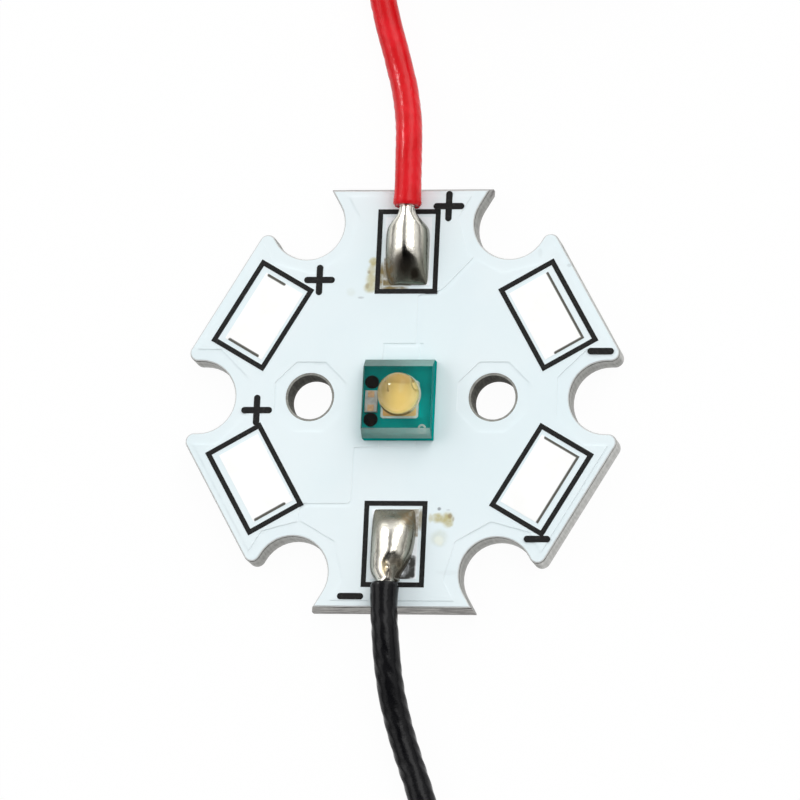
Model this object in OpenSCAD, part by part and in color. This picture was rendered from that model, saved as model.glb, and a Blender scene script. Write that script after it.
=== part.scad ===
// Infrared emitter on a star-shaped aluminium circuit board, with two flying leads.
// Millimetres. The underside of the board is z = 0 and its centre is the origin.
// The arm at +Y carries the positive (red) lead, the arm at -Y the negative (black) one.

/* [Board] */
// Distance across two opposite flats, at the top face
flat_width = 19.66; // [18.6:0.02:22]
// Thickness of the aluminium base
base_t = 1.2; // [1:0.1:2]
// Diameter of the circle that the screw notches are centred on
notch_circle_d = 19.05; // [18.6:0.05:19.8]
// Width of a screw notch (clearance for a 3 mm screw)
notch_w = 3.4; // [3:0.1:3.7]
// Radius at the tips of the four side arms
tip_r = 0.4; // [0.2:0.05:0.6]
// Distance between the two locating holes
hole_spacing = 8.58; // [8:0.02:9.2]
// Diameter of a locating hole
hole_d = 2.05; // [1.6:0.05:2.4]
// How far the snapped web stands out from the top and bottom flats
snap_ridge = 0.15; // [0.05:0.01:0.25]
// Depth of each of the two V-cuts along those flats
snap_depth = 0.4; // [0.2:0.05:0.5]

/* [Layers] */
// Thickness of the insulating layer
insulation_t = 0.08; // [0.05:0.01:0.15]
// Thickness of the copper
copper_t = 0.04; // [0.03:0.005:0.07]
// Thickness of the solder mask
mask_t = 0.03; // [0.02:0.005:0.04]
// Thickness of the print
ink_t = 0.015; // [0.01:0.005:0.02]
// How far the mask stays back from the board's edge
mask_setback = 0.07; // [0.04:0.01:0.15]
// How far the insulation stays back from the board's edge
insulation_setback = 0.02; // [0.01:0.01:0.03]
// How far the mask stays back from the wall of a locating hole
hole_ring = 0.12; // [0.08:0.01:0.2]
// How far the copper stays back from the board's flats
copper_setback = 0.35; // [0.25:0.05:0.5]
// Half the width of the bare octagon round a locating hole
hole_isolation = 1.69; // [1.5:0.01:1.8]
// Half the width of the bare octagon round a screw notch
notch_isolation = 2.3; // [2.1:0.05:2.5]
// Width of the channel between two copper islands
channel_w = 0.25; // [0.2:0.01:0.3]

/* [Pads] */
// Length of a side pad, along the board's edge
side_pad_l = 3.6; // [3.2:0.05:3.7]
// Width of a side pad
side_pad_w = 2.05; // [1.7:0.05:2.1]
// Distance of a side pad's middle in from the board's edge
side_pad_in = 2.17; // [2.05:0.01:2.2]
// Length of an end pad, along its lead
end_pad_l = 3.25; // [3:0.05:3.4]
// Width of an end pad
end_pad_w = 2.17; // [2:0.01:2.3]
// Distance of an end pad's middle in from the board's edge
end_pad_in = 2.94; // [2.85:0.01:3]
// How far the tinning stands out of the mask
tin_proud = 0.015; // [0.005:0.005:0.03]

/* [Print] */
// Stroke of the pad frames
frame_stroke = 0.23; // [0.15:0.01:0.26]
// Gap between an end pad and the middle of its frame's stroke
frame_gap = 0.27; // [0.25:0.01:0.3]
// Gap between a side pad and the middle of its frame's stroke
side_frame_gap = 0.32; // [0.28:0.01:0.33]
// How far further out than its pad a side pad's frame is printed
side_frame_off = 0.08; // [0:0.01:0.1]
// Stroke of the polarity signs
sign_stroke = 0.3; // [0.2:0.01:0.35]
// Length of a plus sign's bars
plus_l = 1.45; // [1.2:0.05:1.6]
// Length of a minus sign
minus_l = 1.22; // [1:0.02:1.4]

/* [Package] */
// Width of the emitter package
pkg_w = 3.25; // [3.2:0.01:3.4]
// Length of the emitter package
pkg_l = 3.7; // [3.6:0.01:3.8]
// Thickness of its substrate
substrate_t = 0.45; // [0.3:0.05:0.6]
// Where the package sits from the board's centre, towards the negative lead
pkg_back = 0.22; // [0:0.01:0.3]
// Thickness of the terminals under the package
terminal_t = 0.03; // [0.02:0.005:0.05]
// Thickness of the solder under the package
joint_t = 0.06; // [0.05:0.01:0.1]
// Width of a side terminal
terminal_w = 0.5; // [0.4:0.01:0.55]
// Width of the thermal terminal
thermal_w = 1.3; // [1.1:0.01:1.4]
// Length of the terminals
terminal_l = 3; // [2.6:0.05:3.2]
// Side of the die pad, with its rim
die_pad_w = 1.76; // [1.6:0.01:1.8]
// Width of the die pad's silver rim
rim_w = 0.1; // [0.06:0.01:0.15]
// Thickness of the metal on the substrate
metal_t = 0.03; // [0.02:0.005:0.05]
// Side of the emitter die
die_w = 1; // [0.8:0.01:1.1]
// Thickness of the emitter die
die_t = 0.15; // [0.1:0.01:0.2]
// Thickness of the die attach
attach_t = 0.02; // [0.01:0.005:0.03]
// Diameter of a bond wire
bond_d = 0.04; // [0.03:0.005:0.06]
// Diameter of a via plug
plug_d = 0.6; // [0.5:0.01:0.64]
// Length of the protection diode
diode_l = 1; // [0.9:0.01:1.02]
// Width of the protection diode
diode_w = 0.56; // [0.5:0.01:0.64]
// Height of the protection diode
diode_t = 0.28; // [0.2:0.01:0.32]
// Outer diameter of the ring mark
mark_d = 0.38; // [0.3:0.01:0.42]

/* [Lens] */
// Radius of the dome
dome_r = 0.95; // [0.92:0.005:1]
// Height of the dome's centre over the flange
dome_rise = 0.3; // [0.1:0.05:0.6]
// Thickness of the clear flange
flange_t = 0.45; // [0.4:0.01:0.6]
// Width of the slope along the flange's two ends
flange_slope = 0.4; // [0.3:0.01:0.42]
// Height of the upright lip under that slope
flange_lip_h = 0.04; // [0.03:0.01:0.1]

/* [Leads] */
// Diameter over the insulation
lead_d = 1.25; // [1.15:0.01:1.3]
// Diameter of the tinned conductor
conductor_d = 0.6; // [0.4:0.01:0.62]
// Height of the leads' middle over the mask, where they leave the solder
lead_rise = 0.75; // [0.7:0.01:0.8]
// Bare wire between an end pad and the jacket
jacket_gap = 0.335; // [0.3:0.005:0.4]
// Height of a solder joint over its pad
joint_h = 1.18; // [1.15:0.01:1.3]
// Length of the bare tip at a lead's far end
tip_l = 4; // [2:0.5:6]

/* [Hidden] */
$fn = 96;
eps = 0.01;
flat_r = flat_width / 2;
notch_r = notch_circle_d / 2;
side_pad_r = flat_r - side_pad_in;
end_pad_r = flat_r - end_pad_in;
jacket_start = end_pad_r + end_pad_l / 2 + jacket_gap;
insulation_z = base_t;
copper_z = insulation_z + insulation_t;
film_z = copper_z + mask_t;                  // mask over bare insulation
mask_z = copper_z + copper_t + mask_t;       // mask over copper
ink_z = mask_z + ink_t;
tin_z = mask_z + tin_proud;                  // top of the tinned pads
span = 3 * flat_width;                       // longer than anything on the board
side_arms = [30, 150, 210, 330];
hole_clear = hole_d / 2 + hole_ring;

// package heights
joint_z = copper_z + copper_t;
terminal_z = joint_z + joint_t;
substrate_z = terminal_z + terminal_t;
metal_z = substrate_z + substrate_t;         // top of the substrate
attach_z = metal_z + metal_t;
die_z = attach_z + attach_t;
die_top_z = die_z + die_t;
flange_z = metal_z + flange_t;               // top of the flange

// places on the package, from its own centre
pad_at = [0.1, -0.06];
dome_at = [0.12, 0.11];
plug_at = [[-1.25, 0.76], [-1.22, -1.01]];
diode_at = [-1.22, -0.17];
mark_at = [1.18, -1.4];
finger = [0.9, 0.14];
finger_gap = 0.09;
finger_at = [pad_at[0], pad_at[1] + die_pad_w / 2 + finger_gap + finger[1] / 2];
contact_w = 0.3;
contact_t = 0.02;
contact_spacing = 0.64;
plug_t = 0.05;
wire_x = [-0.3, 0.3];
side_terminal_x = pkg_w / 2 - 0.12 - terminal_w / 2;

// signs: [arm, distance in from the board's edge, distance to the arm's right]
plus_at = [[90, 0.79, 1.84], [150, 3.51, 2.75], [210, 3.66, 2.83]];
minus_at = [[270, 0.5, 1.94], [30, 0.78, 2.73], [330, 0.8, 2.43]];

// channels between the copper islands, on the board
land_w = 1.7;
land_l = 4.9;
upper_notch = notch_r * [cos(60), sin(60)];
upper_channel = [[0.67, land_l / 2], [0.67, 4.72], [1.75, 5], [3.4, 6.8], upper_notch];
lower_channel = [[-land_w / 2, -land_l / 2], [-2.03, -land_l / 2], [-2.03, -4.9], [-2.2, -5.09],
    [-4.4, -5.09], -upper_notch];

// leads: height of the middle at the joint, and the sideways place of each
lead_z = mask_z + lead_rise;
red_x = 0.03;
black_x = -0.2;
joint_start = end_pad_r - end_pad_l / 2 + 0.02;
joint_cover = 1.75;                          // solder between its inner end and the wire
neck_r = conductor_d / 2 + 0.06;

// joints: [share of the length, half-width to each side as a share of the pad's, share of the height]
red_sections = [[0, 0.58, 0.84, 0.06], [0.03, 0.66, 0.9, 0.2], [0.1, 0.72, 0.93, 0.42],
    [0.2, 0.77, 0.94, 0.66], [0.34, 0.84, 0.94, 0.87], [0.5, 0.9, 0.94, 0.97], [0.68, 0.95, 0.94, 1],
    [0.8, 0.94, 0.9, 1], [0.86, 0.8, 0.77, 1], [0.93, 0.52, 0.5, 1], [1, 0.4, 0.4, 1]];
black_sections = [[0, 0.76, 0.86, 0.06], [0.03, 0.82, 0.91, 0.22], [0.1, 0.87, 0.95, 0.46],
    [0.2, 0.9, 0.97, 0.7], [0.34, 0.9, 0.98, 0.89], [0.48, 0.86, 0.98, 0.97], [0.62, 0.76, 0.98, 1],
    [0.75, 0.56, 0.97, 1], [0.85, 0.38, 0.9, 1], [0.93, 0.3, 0.74, 1], [1, 0.3, 0.6, 1]];
// coils: two turns in, a short climb and two turns out
coil_mid_r = 6.6;
coil_inner_r = coil_mid_r - 1.5 * lead_d;
coil_outer_r = coil_mid_r + 1.5 * lead_d;
coil_h = 2 * lead_d;
red_coil_at = [5.35, 28.3];
black_coil_at = [-5.35, -27.6];
lead_lie = lead_d / 2;                       // height of a lead that lies on the surface

red_route = [[red_x, jacket_start, lead_z], [red_x, jacket_start + 0.75, lead_z], [0.01, 10.4, 2.08],
    [-0.03, 11.3, 2], [-0.09, 12.2, 1.84], [-0.2, 13.1, 1.58], [-0.38, 14, 1.28], [-0.6, 14.9, 1],
    [-0.88, 15.8, 0.8], [-1.18, 16.8, 0.69], [-1.5, 17.8, 0.64], [-1.8, 18.9, lead_lie],
    [-2.08, 20, lead_lie], [-2.3, 21.1, lead_lie], [-2.45, 22.3, lead_lie], [-2.5, 23.6, lead_lie]];
black_route = [[black_x, -jacket_start, lead_z], [black_x, -jacket_start - 0.75, lead_z],
    [-0.16, -10.4, 2.08], [-0.08, -11.3, 2], [0, -12.2, 1.84], [0.1, -13.1, 1.58], [0.24, -14, 1.28],
    [0.44, -14.9, 1], [0.7, -15.8, 0.8], [1.04, -16.8, 0.69], [1.42, -17.8, 0.64], [1.8, -18.9, lead_lie],
    [2.12, -20, lead_lie], [2.34, -21.1, lead_lie], [2.46, -22, lead_lie], [2.5, -22.9, lead_lie]];
// far ends, from the coil's centre: off the top turn, over the lead and down to the surface
tail_route = [[-9, -1.4, 1.5], [-9.7, -0.7, 1.17], [-10.4, 0, 0.88], [-11.1, 0.7, 0.68],
    [-11.8, 1.4, lead_lie], [-12.5, 2.1, lead_lie]];

// Board outline

// U-shaped screw notch, pointing out along +X
module notch(half) {
    circle(half);
    translate([0, -half]) square([flat_width, 2 * half]);
}

// What the rounding takes off one tip of an arm that points along +X
module tip_cut(inset) {
    f = flat_r - inset;
    w = notch_w / 2 + inset;
    r = tip_r - inset;
    y = ((f - r) / 2 - w - r) / cos(30);
    e = 0.2;
    corner = ((f + e) / 2 - w + e) / cos(30);
    difference() {
        polygon([[f - r, -y], [f + e, -y], [f + e, -corner],
            [f - r - (r + e) * sin(30), -y - (r + e) * cos(30)]]);
        translate([f - r, -y]) circle(r);
    }
}

// Star outline, drawn in from the edge by inset; extra moves the two end flats out
module star(inset = 0, extra = 0) {
    difference() {
        intersection() {
            square([span, 2 * (flat_r + extra - inset)], center = true);
            rotate(60) square([span, 2 * (flat_r - inset)], center = true);
            rotate(-60) square([span, 2 * (flat_r - inset)], center = true);
        }
        for (k = [0:5]) rotate(60 * k) translate([notch_r, 0]) notch(notch_w / 2 + inset);
        for (a = side_arms) rotate(a) {
            tip_cut(inset);
            mirror([0, 1]) tip_cut(inset);
        }
    }
}

module both_holes() {
    for (s = [-1, 1]) translate([s * hole_spacing / 2, 0]) children();
}

// V-cut along the end flats, seen from the side: from the top edge down to the web
module snap_cut() {
    polygon([[flat_r, base_t], [flat_r + snap_ridge, base_t - snap_depth],
        [flat_r + 1, base_t - snap_depth], [flat_r + 1, base_t + 1], [flat_r, base_t + 1]]);
}

module base_plate() {
    color([0.66, 0.67, 0.68])
    difference() {
        linear_extrude(base_t) star(0, snap_ridge);
        for (s = [0, 1]) rotate(180 * s) {
            rotate([90, 0, 90]) linear_extrude(span, center = true) snap_cut();
            translate([0, 0, base_t]) mirror([0, 0, 1])
                rotate([90, 0, 90]) linear_extrude(span, center = true) snap_cut();
        }
        both_holes() translate([0, 0, -1]) cylinder(h = base_t + 2, d = hole_d);
    }
}

module insulation() {
    color([0.25, 0.26, 0.22])
    translate([0, 0, insulation_z]) linear_extrude(insulation_t) difference() {
        star(insulation_setback);
        both_holes() circle(hole_d / 2 + insulation_setback);
    }
}

// Copper

module octagon(half) {
    rotate(22.5) circle(r = half / cos(22.5), $fn = 8);
}

// Bare area round a screw notch, open outwards along +X
module bare_notch(half) {
    c = half * tan(22.5);
    polygon([[-half, -c], [-c, -half], [flat_width, -half], [flat_width, half], [-c, half], [-half, c]]);
}

// Strip of width w along a run of points
module strip(points, w) {
    for (i = [0:len(points) - 2]) {
        d = points[i + 1] - points[i];
        translate(points[i]) rotate(atan2(d[1], d[0])) translate([0, -w / 2]) square([norm(d), w]);
    }
    for (p = points) translate(p) circle(w / 2);
}

// Copper area before it is split, grown all round by grow
module copper_field(grow) {
    difference() {
        intersection() {
            square([span, 2 * (flat_r - copper_setback + grow)], center = true);
            rotate(60) square([span, 2 * (flat_r - copper_setback + grow)], center = true);
            rotate(-60) square([span, 2 * (flat_r - copper_setback + grow)], center = true);
        }
        for (k = [0:5]) rotate(60 * k) translate([notch_r, 0]) bare_notch(notch_isolation - grow);
        both_holes() octagon(hole_isolation - grow);
    }
}

module channels(w) {
    strip(upper_channel, w);
    strip(lower_channel, w);
    difference() {
        square([land_w + w, land_l + w], center = true);
        square([land_w - w, land_l - w], center = true);
    }
}

// The positive side of the board: everything left of the channels
module positive_side() {
    polygon(concat([2 * upper_notch], [for (i = [4:-1:0]) upper_channel[i]],
        [[-land_w / 2, land_l / 2]], lower_channel, [-2 * upper_notch, [-span, -span], [-span, span]]));
}

module positive_shape(grow = 0) {
    intersection() {
        difference() {
            copper_field(grow);
            channels(channel_w - 2 * grow);
        }
        positive_side();
    }
}

module negative_shape(grow = 0) {
    difference() {
        copper_field(grow);
        channels(channel_w - 2 * grow);
        positive_side();
        square([land_w, land_l], center = true);
    }
}

module land_shape(grow = 0) {
    square([land_w - channel_w + 2 * grow, land_l - channel_w + 2 * grow], center = true);
}

module copper_layer() {
    color([0.78, 0.5, 0.33]) translate([0, 0, copper_z]) linear_extrude(copper_t) children();
}

module positive_copper() { copper_layer() positive_shape(); }
module negative_copper() { copper_layer() negative_shape(); }
module thermal_land() { copper_layer() land_shape(); }

// Solder mask, tinned pads and print

module side_pad(a) {
    rotate(a) translate([side_pad_r, 0]) square([side_pad_w, side_pad_l], center = true);
}

module end_pad(a) {
    rotate(a) translate([end_pad_r, 0]) square([end_pad_l, end_pad_w], center = true);
}

module terminal_shape(x, w) {
    translate([x, -pkg_back]) square([w, terminal_l], center = true);
}

module mask_openings() {
    for (a = side_arms) side_pad(a);
    for (a = [90, 270]) end_pad(a);
    terminal_shape(-side_terminal_x, terminal_w);
    terminal_shape(side_terminal_x, terminal_w);
    terminal_shape(0, thermal_w);
    both_holes() circle(hole_clear);
}

// Mask over the copper, wrapped round its edges
module raised_mask() {
    translate([0, 0, copper_z]) linear_extrude(copper_t + mask_t) intersection() {
        star(mask_setback);
        union() {
            positive_shape(mask_t);
            negative_shape(mask_t);
            land_shape(mask_t);
        }
    }
}

module solder_mask() {
    color([0.9, 0.94, 0.95])
    difference() {
        union() {
            translate([0, 0, copper_z]) linear_extrude(mask_t) star(mask_setback);
            raised_mask();
        }
        translate([0, 0, copper_z - 1]) linear_extrude(copper_t + 1) {
            positive_shape();
            negative_shape();
            land_shape();
        }
        translate([0, 0, copper_z - 1]) linear_extrude(2) mask_openings();
    }
}

module tinned() {
    color([0.86, 0.86, 0.85]) translate([0, 0, joint_z]) linear_extrude(tin_z - joint_z) children();
}

module upper_right_pad() { tinned() side_pad(30); }
module upper_left_pad() { tinned() side_pad(150); }
module lower_left_pad() { tinned() side_pad(210); }
module lower_right_pad() { tinned() side_pad(330); }
module positive_end_pad() { tinned() end_pad(90); }
module negative_end_pad() { tinned() end_pad(270); }

module frame_shape(l, w, gap) {
    difference() {
        square([l + 2 * gap + frame_stroke, w + 2 * gap + frame_stroke], center = true);
        square([l + 2 * gap - frame_stroke, w + 2 * gap - frame_stroke], center = true);
    }
}

module all_frames() {
    for (a = side_arms) rotate(a) translate([side_pad_r + side_frame_off, 0])
        frame_shape(side_pad_w, side_pad_l, side_frame_gap);
    for (a = [90, 270]) rotate(a) translate([end_pad_r, 0])
        frame_shape(end_pad_l, end_pad_w, frame_gap);
}

// Bar with round ends, centred
module bar(l) {
    square([l - sign_stroke, sign_stroke], center = true);
    for (s = [-1, 1]) translate([s * (l - sign_stroke) / 2, 0]) circle(sign_stroke / 2);
}

// Places a sign beside its arm and keeps it upright
module at_sign(p) {
    rotate(p[0]) translate([flat_r - p[1], -p[2]]) rotate(-p[0]) children();
}

// Ink lies on the mask and runs down where the mask steps down
module ink() {
    color([0.1, 0.1, 0.1])
    difference() {
        translate([0, 0, film_z]) linear_extrude(ink_z - film_z) children();
        raised_mask();
    }
}

module pad_frames() { ink() all_frames(); }

module plus_signs() {
    ink() difference() {
        for (p = plus_at) at_sign(p) {
            bar(plus_l);
            rotate(90) bar(plus_l);
        }
        all_frames();
    }
}

module minus_signs() {
    ink() difference() {
        for (p = minus_at) at_sign(p) bar(minus_l);
        all_frames();
    }
}

// Solder joints and lead ends

function smooth(t) = let (u = min(1, max(0, t))) u * u * (3 - 2 * u);

// One section of a joint: a dome on a foot a hair hollow, which closes to a ring round the wire outwards
function joint_section(r, side) = let (m = smooth((r[0] - 0.8) / 0.18))
    [for (k = [0:19]) let (c = cos(18 * k), v = sin(18 * k), w = (c > 0 ? r[1] : r[2]) * end_pad_w / 2)
        [r[0] * (jacket_start - joint_start), (1 - m) * w * c + m * (side + neck_r * c),
        (1 - m) * (v > 0 ? joint_h * r[3] * pow(v, 0.9) : -v / 1000) + m * (lead_z - tin_z + neck_r * v)]];

// Joint lofted through its sections, outwards along +X from the pad's inner end
module mound(sections, side) {
    n = 20;
    last = len(sections) - 1;
    points = [for (r = sections) each joint_section(r, side)];
    faces = concat(
        [[for (k = [0:n - 1]) k]],
        [[for (k = [n - 1:-1:0]) last * n + k]],
        [for (i = [0:last - 1], k = [0:n - 1]) let (q = (k + 1) % n)
            [(i + 1) * n + k, i * n + q, i * n + k]],
        [for (i = [0:last - 1], k = [0:n - 1]) let (q = (k + 1) % n)
            [(i + 1) * n + k, (i + 1) * n + q, i * n + q]]);
    polyhedron(points, faces);
}

// The wire inside a joint, along +X from the board's centre
module wire(side, extra = 0) {
    from = joint_start + joint_cover;
    translate([from, side, lead_z]) rotate([0, 90, 0])
        cylinder(h = jacket_start - from + extra, d = conductor_d, $fn = 32);
}

module solder_joint(sections, side) {
    color([0.72, 0.73, 0.74])
    difference() {
        translate([joint_start, 0, tin_z]) mound(sections, side);
        wire(side, 1);
    }
}

module positive_joint() { rotate(90) solder_joint(red_sections, -red_x); }
module negative_joint() { rotate(270) solder_joint(black_sections, black_x); }
module red_conductor() { color([0.8, 0.78, 0.74]) rotate(90) wire(-red_x); }
module black_conductor() { color([0.8, 0.78, 0.74]) rotate(270) wire(black_x); }

// Leads

function unit(v) = v / norm(v);
function heading(p, i) = unit(p[min(i + 1, len(p) - 1)] - p[max(i - 1, 0)]);

// Tube swept along a route, with eight sides and one standing on its edge
module tube(p, d) {
    sides = 8;
    count = len(p);
    ring = [for (i = [0:count - 1]) let (t = heading(p, i), a = unit(cross([0, 0, 1], t)), b = cross(t, a))
        each [for (k = [0:sides - 1]) p[i] + d / 2 * (cos(360 * k / sides) * a + sin(360 * k / sides) * b)]];
    faces = concat(
        [[for (k = [sides - 1:-1:0]) k]],
        [[for (k = [0:sides - 1]) (count - 1) * sides + k]],
        [for (i = [0:count - 2], k = [0:sides - 1]) let (q = (k + 1) % sides)
            [i * sides + k, i * sides + q, (i + 1) * sides + q]],
        [for (i = [0:count - 2], k = [0:sides - 1]) let (q = (k + 1) % sides)
            [i * sides + k, (i + 1) * sides + q, (i + 1) * sides + k]]);
    polyhedron(ring, faces);
}

// Outer shape of a coil that lies flat
module coil() {
    rotate_extrude() translate([coil_inner_r, 0]) {
        translate([0, lead_d / 2]) square([3 * lead_d, coil_h - lead_d]);
        translate([lead_d / 2, 0]) square([2 * lead_d, coil_h]);
        for (x = [0.5, 2.5], z = [0.5, 1.5]) translate([x, z] * lead_d) circle(lead_d / 2);
    }
}

// Places a far end: the black one is the red one turned half round
module at_coil(centre, turn) {
    translate([centre[0], centre[1], 0]) rotate(turn) children();
}

module tip() {
    last = tail_route[len(tail_route) - 1];
    translate(last) rotate([0, 90, 135]) cylinder(h = tip_l, d = conductor_d, $fn = 32);
}

red = [0.78, 0.2, 0.14];
black = [0.13, 0.13, 0.13];
module red_jacket() { color(red) tube(red_route, lead_d); }
module red_coil() { color(red) at_coil(red_coil_at, 0) coil(); }
module red_tail() { color(red) at_coil(red_coil_at, 0) tube(tail_route, lead_d); }
module red_tip() { color([0.8, 0.78, 0.74]) at_coil(red_coil_at, 0) tip(); }
module black_jacket() { color(black) tube(black_route, lead_d); }
module black_coil() { color(black) at_coil(black_coil_at, 180) coil(); }
module black_tail() { color(black) at_coil(black_coil_at, 180) tube(tail_route, lead_d); }
module black_tip() { color([0.8, 0.78, 0.74]) at_coil(black_coil_at, 180) tip(); }

// Emitter package

// Moves to a place on the package at height z
module on_package(p, z) {
    translate([p[0], p[1] - pkg_back, z]) children();
}

module package_substrate() {
    color([0, 0.5, 0.45]) on_package([0, 0], substrate_z + substrate_t / 2)
        cube([pkg_w, pkg_l, substrate_t], center = true);
}

module terminal(x, w) {
    color([0.85, 0.7, 0.35])
    translate([0, 0, terminal_z]) linear_extrude(terminal_t) terminal_shape(x, w);
}

module terminal_solder(x, w) {
    color([0.72, 0.73, 0.74])
    translate([0, 0, joint_z]) linear_extrude(joint_t) terminal_shape(x, w);
}

module anode_terminal() { terminal(-side_terminal_x, terminal_w); }
module cathode_terminal() { terminal(side_terminal_x, terminal_w); }
module thermal_terminal() { terminal(0, thermal_w); }
module anode_solder() { terminal_solder(-side_terminal_x, terminal_w); }
module cathode_solder() { terminal_solder(side_terminal_x, terminal_w); }
module thermal_solder() { terminal_solder(0, thermal_w); }

// Square with cut corners
module cut_square(w, c) {
    h = w / 2;
    polygon([[-h + c, -h], [h - c, -h], [h, -h + c], [h, h - c], [h - c, h], [-h + c, h],
        [-h, h - c], [-h, -h + c]]);
}

module die_pad() {
    color([0.83, 0.62, 0.3]) on_package(pad_at, metal_z)
        linear_extrude(metal_t) cut_square(die_pad_w - 2 * rim_w, 0.05);
}

module die_pad_rim() {
    color([0.85, 0.87, 0.86]) on_package(pad_at, metal_z) linear_extrude(metal_t) difference() {
        cut_square(die_pad_w, 0.09);
        cut_square(die_pad_w - 2 * rim_w, 0.05);
    }
}

module bond_finger() {
    color([0.83, 0.62, 0.3]) on_package(finger_at, metal_z)
        linear_extrude(metal_t) square(finger, center = true);
}

module die_attach() {
    color([0.6, 0.6, 0.6]) on_package(pad_at, attach_z)
        linear_extrude(attach_t) square(die_w, center = true);
}

module emitter_die() {
    color([0.86, 0.66, 0.32]) on_package(pad_at, die_z)
        linear_extrude(die_t) square(die_w, center = true);
}

// Wires arch from the die to the finger
module bond_wires() {
    from = pad_at[1] + die_w / 2 - 0.15;
    reach = finger_at[1] - from;
    color([0.9, 0.7, 0.3])
    for (x = wire_x) on_package([pad_at[0] + x, from + reach / 2], die_top_z) {
        rotate([90, 0, 90]) rotate_extrude(angle = 180, $fn = 48)
            translate([reach / 2, 0]) circle(d = bond_d, $fn = 16);
        translate([0, reach / 2, attach_z - die_top_z])
            cylinder(h = die_top_z - attach_z, d = bond_d, $fn = 16);
    }
}

module via_plug(p) {
    color([0.07, 0.08, 0.07]) on_package(p, metal_z) cylinder(h = plug_t, d = plug_d);
}

module upper_via_plug() { via_plug(plug_at[0]); }
module lower_via_plug() { via_plug(plug_at[1]); }

module protection_diode() {
    color([0.6, 0.62, 0.6]) on_package(diode_at, metal_z)
        linear_extrude(diode_t) square([diode_w, diode_l], center = true);
}

module diode_contacts() {
    color([0.62, 0.48, 0.36]) for (s = [-1, 1])
        on_package(diode_at + [0, s * contact_spacing / 2], metal_z + diode_t)
            linear_extrude(contact_t) square(contact_w, center = true);
}

module ring_mark() {
    color([0.8, 0.84, 0.78]) on_package(mark_at, metal_z) linear_extrude(metal_t) difference() {
        circle(mark_d / 2);
        circle(mark_d / 4);
    }
}

// Lens

// Flange seen from the side: upright step, slope, flat top
module flange_profile() {
    y = pkg_l / 2;
    polygon([[-y, 0], [y, 0], [y, flange_lip_h], [y - flange_slope, flange_t],
        [flange_slope - y, flange_t], [-y, flange_lip_h]]);
}

module dome_lens() {
    color([0.85, 0.87, 0.8, 0.5])
    difference() {
        union() {
            on_package([0, 0], metal_z)
                rotate([90, 0, 90]) linear_extrude(pkg_w, center = true) flange_profile();
            on_package(dome_at, metal_z) rotate_extrude() {
                square([dome_r, flange_t + dome_rise]);
                translate([0, flange_t + dome_rise]) intersection() {
                    circle(dome_r);
                    square(dome_r);
                }
            }
        }
        die_pad();
        die_pad_rim();
        bond_finger();
        die_attach();
        emitter_die();
        bond_wires();
        upper_via_plug();
        lower_via_plug();
        protection_diode();
        diode_contacts();
        ring_mark();
    }
}

base_plate();
insulation();
positive_copper();
negative_copper();
thermal_land();
solder_mask();
pad_frames();
plus_signs();
minus_signs();
upper_right_pad();
upper_left_pad();
lower_left_pad();
lower_right_pad();
positive_end_pad();
negative_end_pad();
positive_joint();
negative_joint();
red_conductor();
black_conductor();
red_jacket();
red_coil();
red_tail();
red_tip();
black_jacket();
black_coil();
black_tail();
black_tip();
package_substrate();
anode_terminal();
cathode_terminal();
thermal_terminal();
anode_solder();
cathode_solder();
thermal_solder();
die_pad();
die_pad_rim();
bond_finger();
die_attach();
emitter_die();
bond_wires();
upper_via_plug();
lower_via_plug();
protection_diode();
diode_contacts();
ring_mark();
dome_lens();
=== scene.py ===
import bpy
import math
import numpy as np
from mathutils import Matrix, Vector


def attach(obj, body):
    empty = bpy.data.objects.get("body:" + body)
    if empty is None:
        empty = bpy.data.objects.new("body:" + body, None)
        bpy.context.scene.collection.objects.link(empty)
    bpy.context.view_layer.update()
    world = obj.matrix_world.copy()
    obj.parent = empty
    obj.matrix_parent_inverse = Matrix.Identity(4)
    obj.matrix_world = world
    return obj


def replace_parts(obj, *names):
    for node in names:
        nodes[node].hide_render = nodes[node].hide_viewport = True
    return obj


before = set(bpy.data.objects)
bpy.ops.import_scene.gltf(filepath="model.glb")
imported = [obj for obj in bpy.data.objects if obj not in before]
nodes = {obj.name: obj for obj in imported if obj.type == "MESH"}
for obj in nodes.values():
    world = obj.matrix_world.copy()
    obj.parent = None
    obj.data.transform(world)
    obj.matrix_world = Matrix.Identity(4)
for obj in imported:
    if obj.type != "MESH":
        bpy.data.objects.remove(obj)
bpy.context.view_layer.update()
mm = 0.001
fullTurn = 2 * math.pi
print("frame loaded:", len(nodes), "pieces")


# One output socket that can be used in plain arithmetic
class Tap:
    def __init__(self, graph, socket):
        self.graph, self.socket = graph, socket

    def math(self, operation, *others):
        return self.graph.add("ShaderNodeMath", {"operation": operation}, [self, *others])

    def __add__(self, other):
        return self.math("ADD", other)

    def __sub__(self, other):
        return self.math("SUBTRACT", other)

    def __rsub__(self, other):
        return (self * -1) + other

    def __mul__(self, other):
        return self.math("MULTIPLY", other)

    def __truediv__(self, other):
        return self.math("DIVIDE", other)

    def __pow__(self, other):
        return self.math("POWER", other)

    def __neg__(self):
        return self * -1

    def __abs__(self):
        return self.math("ABSOLUTE")

    def most(self, other):
        return self.math("MAXIMUM", other)

    def hump(self, wide):  # bell curve, 1 at nought
        return ((self / wide) ** 2 * -1).math("EXPONENT")

    def soft(self, low, high):  # smooth step, 0 at low and 1 at high
        return self.graph.add("ShaderNodeMapRange", {"interpolation_type": "SMOOTHSTEP"},
                              [self, low, high, 0.0, 1.0])


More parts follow.
